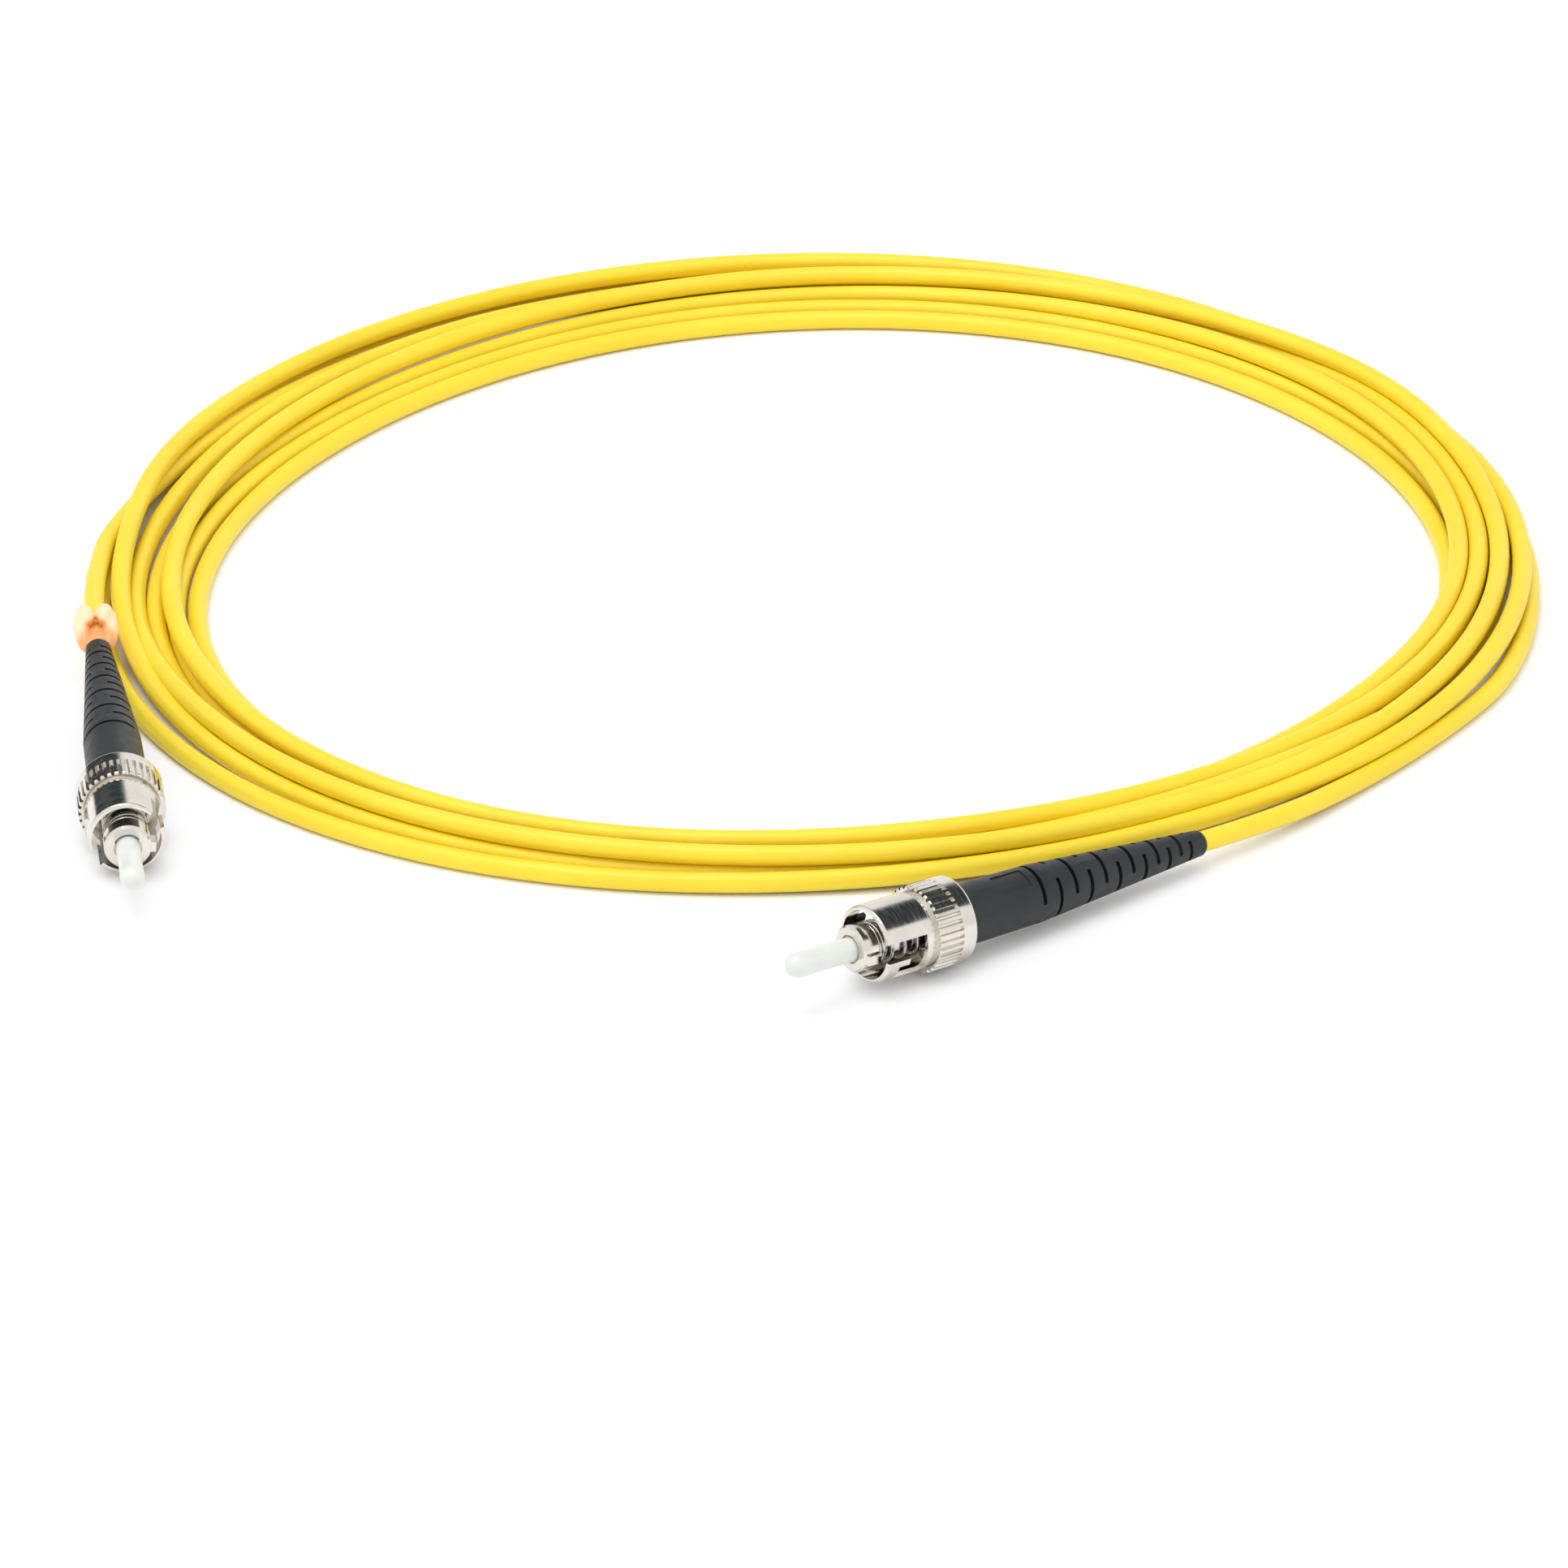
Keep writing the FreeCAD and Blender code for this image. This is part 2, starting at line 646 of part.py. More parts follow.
right_points = lead_points(*CONNECTORS["right"], RIGHT_STRAIGHT, RIGHT_ROUTE)
left_points = lead_points(*CONNECTORS["left"], LEFT_STRAIGHT, LEFT_ROUTE)
save("right_cable_lead", free_length("right lead", right_points))
save("left_cable_lead", free_length("left lead", left_points))
save("cable_coil", cable_coil())
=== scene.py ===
"""Looks of a coiled simplex fibre optic patch cord with a bayonet connector on each end."""

import bmesh
import bpy
import math
from mathutils import Matrix, Vector


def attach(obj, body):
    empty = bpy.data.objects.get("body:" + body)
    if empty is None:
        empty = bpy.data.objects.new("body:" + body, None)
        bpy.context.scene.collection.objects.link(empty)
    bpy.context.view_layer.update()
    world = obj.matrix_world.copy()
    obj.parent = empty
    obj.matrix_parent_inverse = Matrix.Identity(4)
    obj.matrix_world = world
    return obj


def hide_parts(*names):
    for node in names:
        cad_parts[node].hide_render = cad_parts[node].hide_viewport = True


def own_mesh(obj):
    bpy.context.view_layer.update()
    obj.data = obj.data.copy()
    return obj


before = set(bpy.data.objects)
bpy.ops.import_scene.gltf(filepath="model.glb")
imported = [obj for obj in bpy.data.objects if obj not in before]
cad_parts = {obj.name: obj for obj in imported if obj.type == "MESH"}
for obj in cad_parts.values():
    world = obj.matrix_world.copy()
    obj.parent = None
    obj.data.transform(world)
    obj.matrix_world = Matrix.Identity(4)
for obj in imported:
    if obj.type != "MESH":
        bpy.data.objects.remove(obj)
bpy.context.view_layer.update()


# The cord: a yellow jacket 2.4 mm across over yarn and a buffered fibre. It leaves the right
# boot, lies in nearly eight loose turns that cross and nest in two layers, and ends in the
# left boot. It is one curve, so that its length is that of the real cord.
MM = 0.001
CORD_D = 2.4
CORD_ROUNDNESS = 5
CORD_FINENESS = 6
COIL_MIDDLE = Vector((-0.15, 15.95, 0.0))
RIGHT_EXIT = Vector((43.70, -63.98, 2.99))
RIGHT_ROUTE = (
    Vector((53.15, -56.62, 2.32)),
    Vector((61.7, -46.6, 1.3)),
    Vector((69.3, -37.4, 1.2)),
    Vector((75.5, -28.7, 1.2)),
    Vector((80.2, -21.2, 1.2)),
    Vector((83.2, -13.2, 1.2)),
    Vector((85.3, -4.6, 1.2)),
    Vector((86.4, 4.9, 1.2)),
)
LEFT_EXIT = Vector((-84.22, -18.83, 5.30))
LEFT_ROUTE = (
    Vector((-85.8, 8.3, 3.9)),
    Vector((-86.0, 1.0, 4.5)),
    Vector((-85.36, -9.91, 5.3)),
)
# Each turn in order along the cord: its distance from the middle and its height at twelve
# bearings, 30 degrees apart, from the right round by the back.
TURNS = (
    ((86.1, 1.2), (85.2, 1.2), (84.6, 1.2), (84.0, 1.2), (82.8, 1.2), (82.0, 1.2),
     (83.4, 1.2), (91.4, 1.2), (91.6, 1.2), (85.3, 1.2), (84.9, 2.8), (86.7, 3.4)),
    ((86.0, 3.6), (83.4, 2.4), (84.0, 3.1), (82.8, 3.5), (81.7, 3.4), (81.3, 3.8),
     (82.3, 4.6), (86.6, 1.2), (88.6, 1.2), (82.8, 1.2), (82.4, 1.2), (80.2, 1.2)),
    ((80.0, 1.2), (77.9, 1.2), (75.8, 1.2), (72.9, 1.2), (69.3, 1.2), (68.8, 1.2),
     (75.4, 1.2), (82.0, 1.2), (83.8, 1.2), (77.9, 1.2), (79.2, 1.2), (78.2, 1.2)),
    ((77.6, 1.2), (74.4, 1.2), (72.6, 1.2), (69.3, 1.2), (66.4, 1.2), (66.3, 1.2),
     (72.2, 1.2), (80.2, 1.2), (81.4, 1.2), (75.5, 1.2), (76.8, 1.6), (77.4, 3.2)),
    ((78.9, 3.3), (79.0, 3.3), (77.9, 2.4), (77.2, 1.2), (72.4, 1.2), (71.6, 1.2),
     (78.4, 1.2), (84.4, 1.2), (86.2, 1.2), (80.3, 1.2), (81.2, 3.3), (82.8, 2.4)),
    ((83.4, 1.2), (80.4, 1.2), (79.4, 1.2), (79.5, 1.2), (77.0, 3.0), (76.3, 3.1),
     (80.5, 1.4), (85.6, 2.8), (87.4, 3.3), (83.6, 3.4), (83.0, 3.5), (83.2, 3.4)),
    ((83.3, 3.6), (84.0, 3.6), (81.2, 3.3), (78.4, 3.3), (74.2, 3.3), (72.8, 3.3),
     (76.3, 3.4), (81.4, 3.5), (84.6, 3.4), (79.6, 3.4), (78.9, 3.4), (80.0, 3.4)),
    ((81.1, 3.3), (81.2, 1.8), (82.0, 1.2), (81.8, 1.2), (79.8, 1.2), (79.5, 1.4),
     (83.5, 3.8)),
)
TURN_STEPS = 24
NEAR_SHARE = 0.5625
FAR_SHARE = 0.0625
SETTLE_ROUNDS = 60
SETTLE_EASE = 0.008
CORNER_CUT = 0.9915
PATTERN_LOW = 0.35
PATTERN_HIGH = 0.65


def between(before, start, end, after):
    """The point half way along a smooth line from start to end."""
    return (start + end) * NEAR_SHARE - (before + after) * FAR_SHARE


def laid_turns():
    """The coil's points as (radius, height), one each 15 degrees along the cord."""
    marks = [Vector(mark) for turn in TURNS for mark in turn]
    marks = [marks[0]] + marks + [marks[-1]]
    points = []
    for before, start, end, after in zip(marks, marks[1:], marks[2:], marks[3:]):
        points += [start.copy(), between(before, start, end, after)]
    points.append(marks[-2].copy())
    return points


def settled(points):
    """The same points, moved apart where turns would lie in each other, and let lie smoothly."""
    for _ in range(SETTLE_ROUNDS):
        for i in range(len(points)):
            for j in range(i + TURN_STEPS, len(points), TURN_STEPS):
                apart = points[j] - points[i]
                missing = CORD_D - apart.length
                if missing > 0:
                    push = apart.normalized() * missing / 2
                    points[i] -= push
                    points[j] += push
        smooth = [point.copy() for point in points]
        for i in range(1, len(points) - 1):
            smooth[i] += SETTLE_EASE * (points[i - 1] + points[i + 1] - 2 * points[i])
        points = smooth
        for point in points:
            point.y = max(point.y, CORD_D / 2)
    return points


def cord_curve(name, route, diameter):
    """A round cord along one smooth curve."""
    data = bpy.data.curves.new(name, "CURVE")
    data.dimensions = "3D"
    data.bevel_depth = diameter / 2
    data.bevel_resolution = CORD_ROUNDNESS
    data.resolution_u = CORD_FINENESS
    data.use_fill_caps = True
    spline = data.splines.new("NURBS")
    spline.points.add(len(route) - 1)
    for point, place in zip(spline.points, route):
        point.co = (*place, 1)
    spline.order_u = 3
    spline.use_endpoint_u = True
    cord = bpy.data.objects.new(name, data)
    bpy.context.scene.collection.objects.link(cord)
    return cord


def new_finish(name):
    """A new material with its node tree and its shader."""
    finish = bpy.data.materials.new(name)
    finish.use_nodes = True
    return finish, finish.node_tree, finish.node_tree.nodes["Principled BSDF"]


def noise(tree, vector, scale, detail):
    """Fine irregular noise over a vector."""
    grain = tree.nodes.new("ShaderNodeTexNoise")
    grain.inputs["Scale"].default_value = scale
    grain.inputs["Detail"].default_value = detail
    tree.links.new(vector, grain.inputs["Vector"])
    return grain.outputs["Fac"]


def tinted(tree, fac, low, high, socket):
    """A shift of colour between two tones, into a socket."""
    ramp = tree.nodes.new("ShaderNodeValToRGB")
    ramp.color_ramp.elements[0].position = PATTERN_LOW
    ramp.color_ramp.elements[0].color = (*low, 1)
    ramp.color_ramp.elements[1].position = PATTERN_HIGH
    ramp.color_ramp.elements[1].color = (*high, 1)
    tree.links.new(fac, ramp.inputs["Fac"])
    tree.links.new(ramp.outputs["Color"], socket)


def spread(tree, fac, low, high, socket):
    """A shift of a value between two levels, into a socket."""
    level = tree.nodes.new("ShaderNodeMapRange")
    level.inputs["From Min"].default_value = PATTERN_LOW
    level.inputs["From Max"].default_value = PATTERN_HIGH
    level.inputs["To Min"].default_value = low
    level.inputs["To Max"].default_value = high
    tree.links.new(fac, level.inputs["Value"])
    tree.links.new(level.outputs["Result"], socket)


def raised(tree, fac, depth, strength, shader):
    """Relief of a depth in metres, from the same pattern."""
    bump = tree.nodes.new("ShaderNodeBump")
    bump.inputs["Strength"].default_value = strength
    bump.inputs["Distance"].default_value = depth
    tree.links.new(fac, bump.inputs["Height"])
    tree.links.new(bump.outputs["Normal"], shader.inputs["Normal"])


def object_place(tree):
    """Where a point of the object is."""
    return tree.nodes.new("ShaderNodeTexCoord").outputs["Object"]


def jacket_finish():
    """Smooth satin plastic, warm yellow, a little deeper in patches, with a fine extruded grain."""
    finish, tree, shader = new_finish("jacket")
    place = object_place(tree)
    tinted(
        tree, noise(tree, place, 60, 2), (0.87, 0.655, 0.026), (0.91, 0.70, 0.036),
        shader.inputs["Base Color"],
    )
    spread(tree, noise(tree, place, 400, 3), 0.36, 0.46, shader.inputs["Roughness"])
    raised(tree, noise(tree, place, 2500, 2), 0.00002, 0.12, shader)
    shader.inputs["Specular IOR Level"].default_value = 0.45
    shader.inputs["Subsurface Weight"].default_value = 0.25
    shader.inputs["Subsurface Radius"].default_value = (1.0, 0.6, 0.1)
    shader.inputs["Subsurface Scale"].default_value = 0.0006
    return finish


route = [RIGHT_EXIT, *RIGHT_ROUTE]
for i, (radius, height) in enumerate(settled(laid_turns())):
    bearing = 2 * math.pi * i / TURN_STEPS
    reach = radius / CORNER_CUT
    route.append(COIL_MIDDLE + Vector((reach * math.cos(bearing), reach * math.sin(bearing), height)))
route += [*LEFT_ROUTE, LEFT_EXIT]
cord = cord_curve("cord", [place * MM for place in route], CORD_D * MM)
jacket = jacket_finish()
cord.data.materials.append(jacket)
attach(cord, "root")
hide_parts("cable_coil", "right_cable_lead", "left_cable_lead")


# The stripped end of the cord in each connector: a clear glass fibre in a coloured coat, a
# tight nylon buffer round it, combed yellow yarn spread over the stem, and the jacket's end.
SIDES = ("right", "left")


def dress(finish, *pieces):
    """Gives the solids of that name on both sides a finish."""
    for piece in pieces:
        for side in SIDES:
            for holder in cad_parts[f"{side}_{piece}"].material_slots:
                holder.material = finish


def fibre_finish():
    """Clear glass with a thin coat that is a little uneven."""
    finish, tree, shader = new_finish("glass_fibre")
    place = object_place(tree)
    tinted(
        tree, noise(tree, place, 900, 2), (0.78, 0.86, 0.88), (0.90, 0.94, 0.95),
        shader.inputs["Base Color"],
    )
    spread(tree, noise(tree, place, 4000, 2), 0.04, 0.12, shader.inputs["Roughness"])
    shader.inputs["Transmission Weight"].default_value = 0.8
    shader.inputs["IOR"].default_value = 1.46
    return finish


def buffer_finish():
    """Milky nylon with a faint drawn grain."""
    finish, tree, shader = new_finish("buffer")
    place = object_place(tree)
    tinted(
        tree, noise(tree, place, 300, 2), (0.84, 0.84, 0.78), (0.92, 0.92, 0.88),
        shader.inputs["Base Color"],
    )
    spread(tree, noise(tree, place, 2500, 2), 0.32, 0.45, shader.inputs["Roughness"])
    raised(tree, noise(tree, place, 4000, 2), 0.00001, 0.15, shader)
    shader.inputs["Subsurface Weight"].default_value = 0.3
    shader.inputs["Subsurface Radius"].default_value = (1, 1, 0.8)
    shader.inputs["Subsurface Scale"].default_value = 0.0003
    return finish


def yarn_finish():
    """Golden combed yarn, with filaments along the stem."""
    finish, tree, shader = new_finish("aramid")
    place = object_place(tree)
    filaments = noise(tree, place, 6000, 4)
    tinted(tree, filaments, (0.52, 0.37, 0.06), (0.88, 0.72, 0.24), shader.inputs["Base Color"])
    spread(tree, noise(tree, place, 1500, 2), 0.45, 0.65, shader.inputs["Roughness"])
    raised(tree, filaments, 0.00004, 0.6, shader)
    shader.inputs["Sheen Weight"].default_value = 0.4
    return finish


dress(fibre_finish(), "fibre")
dress(buffer_finish(), "buffer_tube")
dress(yarn_finish(), "aramid_yarn")
dress(jacket, "jacket_end")


# The ferrule: ground white zirconia, pressed into the connector body. Its chamfered tip sits
# under the dust cap.
def ceramic_finish():
    """Ground and polished white ceramic that light enters a little."""
    finish, tree, shader = new_finish("ceramic")
    place = object_place(tree)
    tinted(
        tree, noise(tree, place, 500, 2), (0.88, 0.88, 0.85), (0.93, 0.93, 0.91),
        shader.inputs["Base Color"],
    )
    spread(tree, noise(tree, place, 5000, 2), 0.10, 0.18, shader.inputs["Roughness"])
    shader.inputs["IOR"].default_value = 2.1
    shader.inputs["Subsurface Weight"].default_value = 0.3
    shader.inputs["Subsurface Radius"].default_value = (1, 0.95, 0.85)
    shader.inputs["Subsurface Scale"].default_value = 0.0004
    return finish


dress(ceramic_finish(), "ferrule")


# The connector body: brass turned on a lathe and nickel plated, with a collar and key in
# front, a neck for the spring, a hub for the boot and a stem for the crimp.
PLACES = {"right": Vector((15.02, -86.3, 5.02)), "left": Vector((-79.34, -54.9, 5.05))}
HEADINGS = {"right": 217.9, "left": 277.7}
TILTS = {"right": 3.2, "left": -0.4}


def lie(side):
    """From a connector's own axis, with s along x, to where it lies, in metres."""
    yaw = math.radians(HEADINGS[side])
    lift = math.radians(TILTS[side])
    forward = Vector((math.cos(yaw) * math.cos(lift), math.sin(yaw) * math.cos(lift), math.sin(lift)))
    across = Vector((0, 0, 1)).cross(forward).normalized()
    upward = forward.cross(across)
    turn = Matrix((forward, across, upward)).transposed().to_4x4()
    return Matrix.Translation(PLACES[side] * MM) @ turn @ Matrix.Scale(MM, 4)


def along_axis(tree, side, stretch):
    """Where a point is on a connector's own axis, in metres, with that axis stretched."""
    centred = tree.nodes.new("ShaderNodeMapping")
    centred.vector_type = "TEXTURE"
    centred.inputs["Location"].default_value = PLACES[side] * MM
    centred.inputs["Rotation"].default_value = lie(side).to_euler()
    tree.links.new(object_place(tree), centred.inputs["Vector"])
    drawn = tree.nodes.new("ShaderNodeMapping")
    drawn.inputs["Scale"].default_value = (stretch, 1, 1)
    tree.links.new(centred.outputs["Vector"], drawn.inputs["Vector"])
    return drawn.outputs["Vector"]


def turned_metal(name, side, tones, smoothness, marks):
    """Plated metal with fine tool marks round the axis and slight uneven haze."""
    finish, tree, shader = new_finish(name)
    place = object_place(tree)
    rings = noise(tree, along_axis(tree, side, 60), 350, 3)
    tinted(tree, noise(tree, place, 350, 3), *tones, shader.inputs["Base Color"])
    marks_along = noise(tree, along_axis(tree, side, 12), 500, 4)
    spread(tree, marks_along, *smoothness, shader.inputs["Roughness"])
    raised(tree, rings, 0.00001, marks, shader)
    shader.inputs["Metallic"].default_value = 1
    return finish


def dress_one(finish, node):
    """Gives one solid a finish."""
    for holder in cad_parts[node].material_slots:
        holder.material = finish


NICKEL_TONES = ((0.70, 0.66, 0.59), (0.77, 0.74, 0.68))
for side in SIDES:
    dress_one(
        turned_metal(f"{side}_body_nickel", side, NICKEL_TONES, (0.10, 0.20), 0.25),
        f"{side}_connector_body",
    )


# The coupling spring: hard drawn steel wire between the washer and the collar, its end turns
# closed. It shortens towards the collar when the nut is pushed forwards.
WIRE_D = 0.5
SPRING_D = 5.2
SPRING_BACK = 3.29
SPRING_FRONT = 11.98
SPRING_TURNS = 3.75
SPRING_END_TURNS = 1.75
SPRING_END_PITCH = 0.53
SPRING_STEPS = 28
WIRE_SEGMENTS = 10


def finished_mesh(form, name, side):
    """Closes a form into a smooth piece that lies where its connector does."""
    bmesh.ops.recalc_face_normals(form, faces=form.faces)
    data = bpy.data.meshes.new(name)
    form.to_mesh(data)
    form.free()
    data.shade_smooth()
    data.transform(lie(side))
    piece = bpy.data.objects.new(name, data)
    bpy.context.scene.collection.objects.link(piece)
    return piece


def wire_spring(name, side):
    """The wound spring, as its wire's circle spun round the axis and drawn along it."""
    form = bmesh.new()
    reach = (SPRING_D - WIRE_D) / 2
    start = Matrix.Translation((SPRING_BACK, reach, 0))
    bmesh.ops.create_circle(
        form, cap_ends=True, radius=WIRE_D / 2, segments=WIRE_SEGMENTS, matrix=start,
    )
    closed = SPRING_END_TURNS * SPRING_END_PITCH
    pitch = (SPRING_FRONT - SPRING_BACK - 2 * closed) / SPRING_TURNS
    end = [*form.verts, *form.edges, *form.faces]
    end_turns = (SPRING_END_TURNS, SPRING_END_PITCH)
    for turns, rise in (end_turns, (SPRING_TURNS, pitch), end_turns):
        steps = round(turns * SPRING_STEPS)
        end = bmesh.ops.spin(
            form, geom=end, cent=(0, 0, 0), axis=(1, 0, 0), dvec=(rise / SPRING_STEPS, 0, 0),
            angle=2 * math.pi * turns, steps=steps, use_duplicate=False,
        )["geom_last"]
    return finished_mesh(form, name, side)


def steel_finish():
    """Bright drawn steel, a little darker in places."""
    finish, tree, shader = new_finish("steel")
    place = object_place(tree)
    tinted(
        tree, noise(tree, place, 700, 3), (0.46, 0.44, 0.41), (0.62, 0.60, 0.57),
        shader.inputs["Base Color"],
    )
    spread(tree, noise(tree, place, 2500, 3), 0.16, 0.30, shader.inputs["Roughness"])
    raised(tree, noise(tree, place, 6000, 2), 0.00001, 0.2, shader)
    shader.inputs["Metallic"].default_value = 1
    return finish


steel = steel_finish()
for side in SIDES:
    spring = wire_spring(f"{side}_spring", side)
    spring.data.materials.append(steel)
    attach(spring, "root")
    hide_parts(f"{side}_coupling_spring")
    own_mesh(spring)


# The thrust washer and the retaining ring: stamped spring steel, loose on the neck inside the
# nut. The washer takes the spring's push, and the ring stops the nut.
dress(steel, "thrust_washer", "retaining_ring")


# The coupling nut: turned brass, knurled, slotted and bright nickel plated. It turns on the
# body and slides forwards against the spring.
for side in SIDES:
    dress_one(
        turned_metal(f"{side}_nut_nickel", side, NICKEL_TONES, (0.08, 0.17), 0.2),
        f"{side}_coupling_nut",
    )


# The crimp sleeve: satin aluminium, squeezed over the yarn and the jacket's end inside the
# boot.
def crimp_finish():
    """Satin aluminium with press marks."""
    finish, tree, shader = new_finish("crimp")
    place = object_place(tree)
    tinted(
        tree, noise(tree, place, 500, 3), (0.60, 0.60, 0.58), (0.74, 0.74, 0.72),
        shader.inputs["Base Color"],
    )
    spread(tree, noise(tree, place, 1500, 3), 0.30, 0.48, shader.inputs["Roughness"])
    raised(tree, noise(tree, place, 1200, 2), 0.00005, 0.3, shader)
    shader.inputs["Metallic"].default_value = 1
    return finish


dress(crimp_finish(), "crimp_sleeve")


# The boot: black rubber moulded in one piece with staggered slots that let it bend, pushed
# over the hub and the crimp. Its mould leaves a fine matt grain.
def boot_finish():
    """Matt black rubber with a moulded grain and a faint grey bloom."""
    finish, tree, shader = new_finish("boot")
    place = object_place(tree)
    tinted(
        tree, noise(tree, place, 180, 4), (0.010, 0.014, 0.015), (0.016, 0.021, 0.022),
        shader.inputs["Base Color"],
    )
    spread(tree, noise(tree, place, 900, 3), 0.40, 0.52, shader.inputs["Roughness"])
    raised(tree, noise(tree, place, 9000, 2), 0.00002, 0.25, shader)
    shader.inputs["Specular IOR Level"].default_value = 0.42
    return finish


dress(boot_finish(), "boot")


# The dust cap: a thin translucent plastic tube with a round closed tip, moulded in one and
# pushed on the ferrule as far as the recess in the collar.
CAP_OUTSIDE = (
    (13.15, 1.27), (13.15, 1.41), (16.0, 1.40), (18.0, 1.37), (19.4, 1.36), (20.6, 1.41),
    (21.5, 1.44), (22.0, 1.368), (22.45, 1.152), (22.75, 0.8064), (22.90, 0.4176), (22.95, 0),
)
CAP_HOLLOW = ((22.15, 0), (22.15, 1.016), (22.0, 1.27), (18.0, 1.27))
CAP_SEGMENTS = 40
CAP_SEAM = 0.0001


def cap_shell(name, side):
    """The cap's outline, from its mouth round its tip and back along its bore, spun shut."""
    form = bmesh.new()
    corners = [form.verts.new((s, radius, 0)) for s, radius in CAP_OUTSIDE]
    hollow = [form.verts.new((s, radius, 0)) for s, radius in CAP_HOLLOW]
    chain = [*corners, None, *hollow, corners[0]]
    for a, b in zip(chain, chain[1:]):
        if a and b:
            form.edges.new((a, b))
    bmesh.ops.spin(
        form, geom=[*form.verts, *form.edges], cent=(0, 0, 0), axis=(1, 0, 0), angle=2 * math.pi,
        steps=CAP_SEGMENTS, use_merge=True, use_duplicate=False,
    )
    bmesh.ops.remove_doubles(form, verts=form.verts, dist=CAP_SEAM)
    return finished_mesh(form, name, side)


def cap_finish():
    """Soft milky plastic that light enters a little."""
    finish, tree, shader = new_finish("dust_cap")
    place = object_place(tree)
    tinted(
        tree, noise(tree, place, 250, 2), (0.70, 0.73, 0.68), (0.77, 0.79, 0.74),
        shader.inputs["Base Color"],
    )
    spread(tree, noise(tree, place, 1500, 2), 0.16, 0.24, shader.inputs["Roughness"])
    shader.inputs["IOR"].default_value = 1.5
    shader.inputs["Subsurface Weight"].default_value = 0.15
    shader.inputs["Subsurface Radius"].default_value = (0.95, 1, 0.95)
    shader.inputs["Subsurface Scale"].default_value = 0.0002
    return finish


cap_plastic = cap_finish()
for side in SIDES:
    cap = cap_shell(f"{side}_cap_shell", side)
    cap.data.materials.append(cap_plastic)
    shaping = cap.modifiers.new("round", "SUBSURF")
    shaping.levels = 1
    shaping.render_levels = 1
    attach(cap, f"{side}_cap")
    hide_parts(f"{side}_dust_cap")


# The clip: soft peach silicone, moulded in one, that grips the cord behind the left boot. A
# sleeve slit along its top carries a thick flank on each side, and a lobe on each lip of the
# slit.
CLIP_FRONT = -36.5
CLIP_BACK = -42.7
CLIP_INNER_R = 1.3
CLIP_WALL = 0.5
CLIP_OPEN_FRONT = 3.0
CLIP_OPEN_BACK = 26.0
FLANK_HALF = (3.3, 0.95, 1.45)
FLANK_MIDDLE = (-39.4, 1.66, 0.75)
LOBE_HALF = (1.9, 1.05, 1.1)
LOBE_MIDDLE = (-41.1, 1.12, 2.15)
SPLAY = 7.0
FLANK_PITCH = 16.0
SLEEVE_ROUND = 24
SLEEVE_ALONG = 10
SWELL_FINENESS = 3
CLIP_GRAIN = 0.12
CLIP_SMOOTHINGS = 5
# Distances from the clip's axis over which its colour runs from painted inner shade to painted light
# on the lobes.
CLIP_PAINTED_SHADE_SPAN = (0.0016, 0.0032)


def clip_sleeve(form):
    """A sheet rolled round the axis, its slit wider towards the back, given its wall."""
    sheet = bmesh.ops.create_grid(
        form, x_segments=SLEEVE_ROUND, y_segments=SLEEVE_ALONG, size=1,
    )["verts"]
    for vert in sheet:
        behind = (1 - vert.co.y) / 2
        opening = CLIP_OPEN_FRONT + (CLIP_OPEN_BACK - CLIP_OPEN_FRONT) * behind ** 2
        angle = math.radians((180 - opening) * vert.co.x)
        along = CLIP_FRONT + (CLIP_BACK - CLIP_FRONT) * behind
        vert.co = (along, CLIP_INNER_R * math.sin(angle), -CLIP_INNER_R * math.cos(angle))
    bmesh.ops.recalc_face_normals(form, faces=form.faces)
    bmesh.ops.solidify(form, geom=form.faces[:], thickness=CLIP_WALL)


def clip_swell(form, middle, half, pitch, hand):
    """One rounded swelling of the clip, drawn in towards the front."""
    place = Matrix.Translation((middle[0], hand * middle[1], middle[2]))
    splay = Matrix.Rotation(math.radians(-hand * SPLAY), 4, "Z")
    lean = Matrix.Rotation(math.radians(pitch), 4, "Y")
    size = Matrix.Diagonal((*half, 1))
    shape = place @ splay @ lean @ size
    bmesh.ops.create_icosphere(form, subdivisions=SWELL_FINENESS, radius=1, matrix=shape)


def clip_form(name, side):
    """The sleeve with a flank and a lobe on each hand."""
    form = bmesh.new()
    clip_sleeve(form)
    for hand in (-1, 1):
        clip_swell(form, FLANK_MIDDLE, FLANK_HALF, FLANK_PITCH, hand)
        clip_swell(form, LOBE_MIDDLE, LOBE_HALF, 0, hand)
    return finished_mesh(form, name, side)


def clip_finish():
    """Peach silicone that light enters, deep orange near the axis and paler further out: painted
    shade inside the sleeve and painted light on the outer lobes.
    """
    finish, tree, shader = new_finish("clip")
    place = along_axis(tree, "left", 0)
    away = tree.nodes.new("ShaderNodeVectorMath")
    away.operation = "LENGTH"
    tree.links.new(place, away.inputs[0])
    # Painted shade and light: the colour goes from deep orange near the axis, shaded inside the
    # sleeve, to pale peach on the lit outer lobes.
    depth = tree.nodes.new("ShaderNodeMapRange")
    depth.inputs["From Min"].default_value, depth.inputs["From Max"].default_value = CLIP_PAINTED_SHADE_SPAN
    tree.links.new(away.outputs["Value"], depth.inputs["Value"])
    tinted(
        tree, depth.outputs["Result"], (0.95, 0.42, 0.17), (0.98, 0.72, 0.48),
        shader.inputs["Base Color"],
    )
    spread(tree, noise(tree, object_place(tree), 900, 2), 0.32, 0.45, shader.inputs["Roughness"])
    raised(tree, noise(tree, object_place(tree), 1500, 2), 0.00004, 0.3, shader)
    shader.inputs["Subsurface Weight"].default_value = 0.6
    shader.inputs["Subsurface Radius"].default_value = (1.0, 0.45, 0.2)
    shader.inputs["Subsurface Scale"].default_value = 0.0012
    return finish


